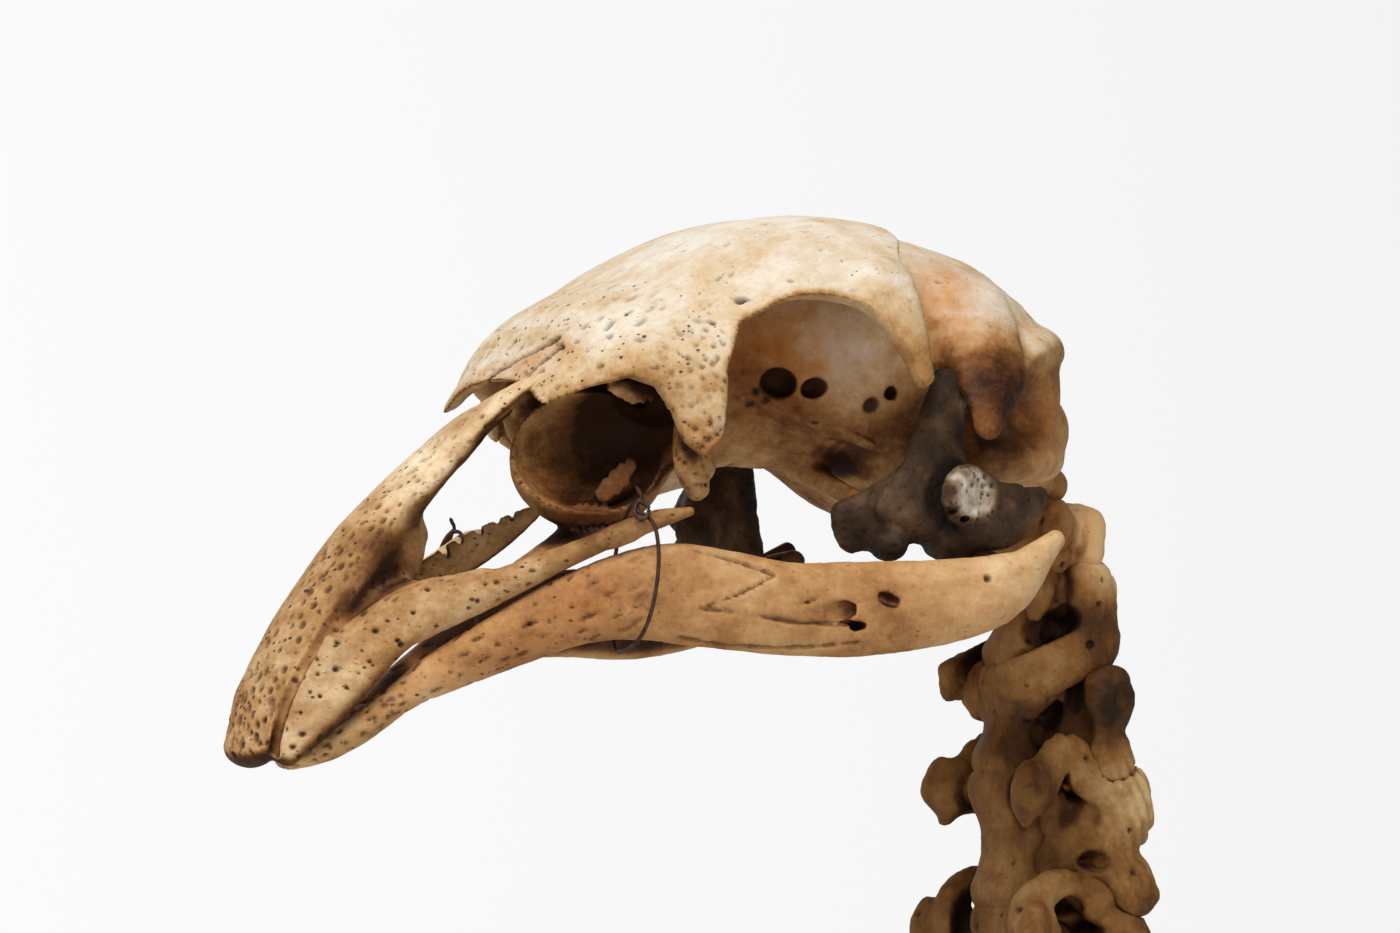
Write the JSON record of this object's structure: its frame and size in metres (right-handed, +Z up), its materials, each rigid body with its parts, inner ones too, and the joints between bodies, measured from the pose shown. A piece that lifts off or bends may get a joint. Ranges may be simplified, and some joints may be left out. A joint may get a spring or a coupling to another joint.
{
  "type": "large flightless bird skull",
  "caption": "Weathered skull of a large flightless bird with a drooping pitted bill and wired lower jaw, carried on its upper neck bones by a plain display stand.",
  "frame": {"origin": "centre of the stand base's underside, on the table", "axes": "+Z up, -X towards the tip of the bill, -Y towards the animal's left side"},
  "size_m": [0.2457, 0.13, 0.2647],
  "materials": {
    "cranium_bone": "dry matte bone, bleached cream on the roof and ochre brown behind",
    "bill_bone": "dry matte bone, densely pitted",
    "jaw_bone": "dry matte bone, brown with pale mottling",
    "quadrate_bone": "dry matte bone, dark grey brown",
    "neck_bone": "dry matte bone, brown",
    "wire": "dull rusted iron wire",
    "stand_wood": "satin black-stained hardwood",
    "stand_steel": "satin steel"
  },
  "bodies": {
    "root": {"cranium": "cranium_bone", "upper_bill": "bill_bone", "mandible": "jaw_bone", "quadrate_left": "quadrate_bone", "quadrate_right": "quadrate_bone", "atlas": "neck_bone", "axis": "neck_bone", "cervical_3": "neck_bone", "cervical_4": "neck_bone", "cervical_5": "neck_bone", "wire_left": "wire", "wire_right": "wire", "stand_base": "stand_wood", "stand_rod": "stand_steel"}
  },
  "joints": []
}
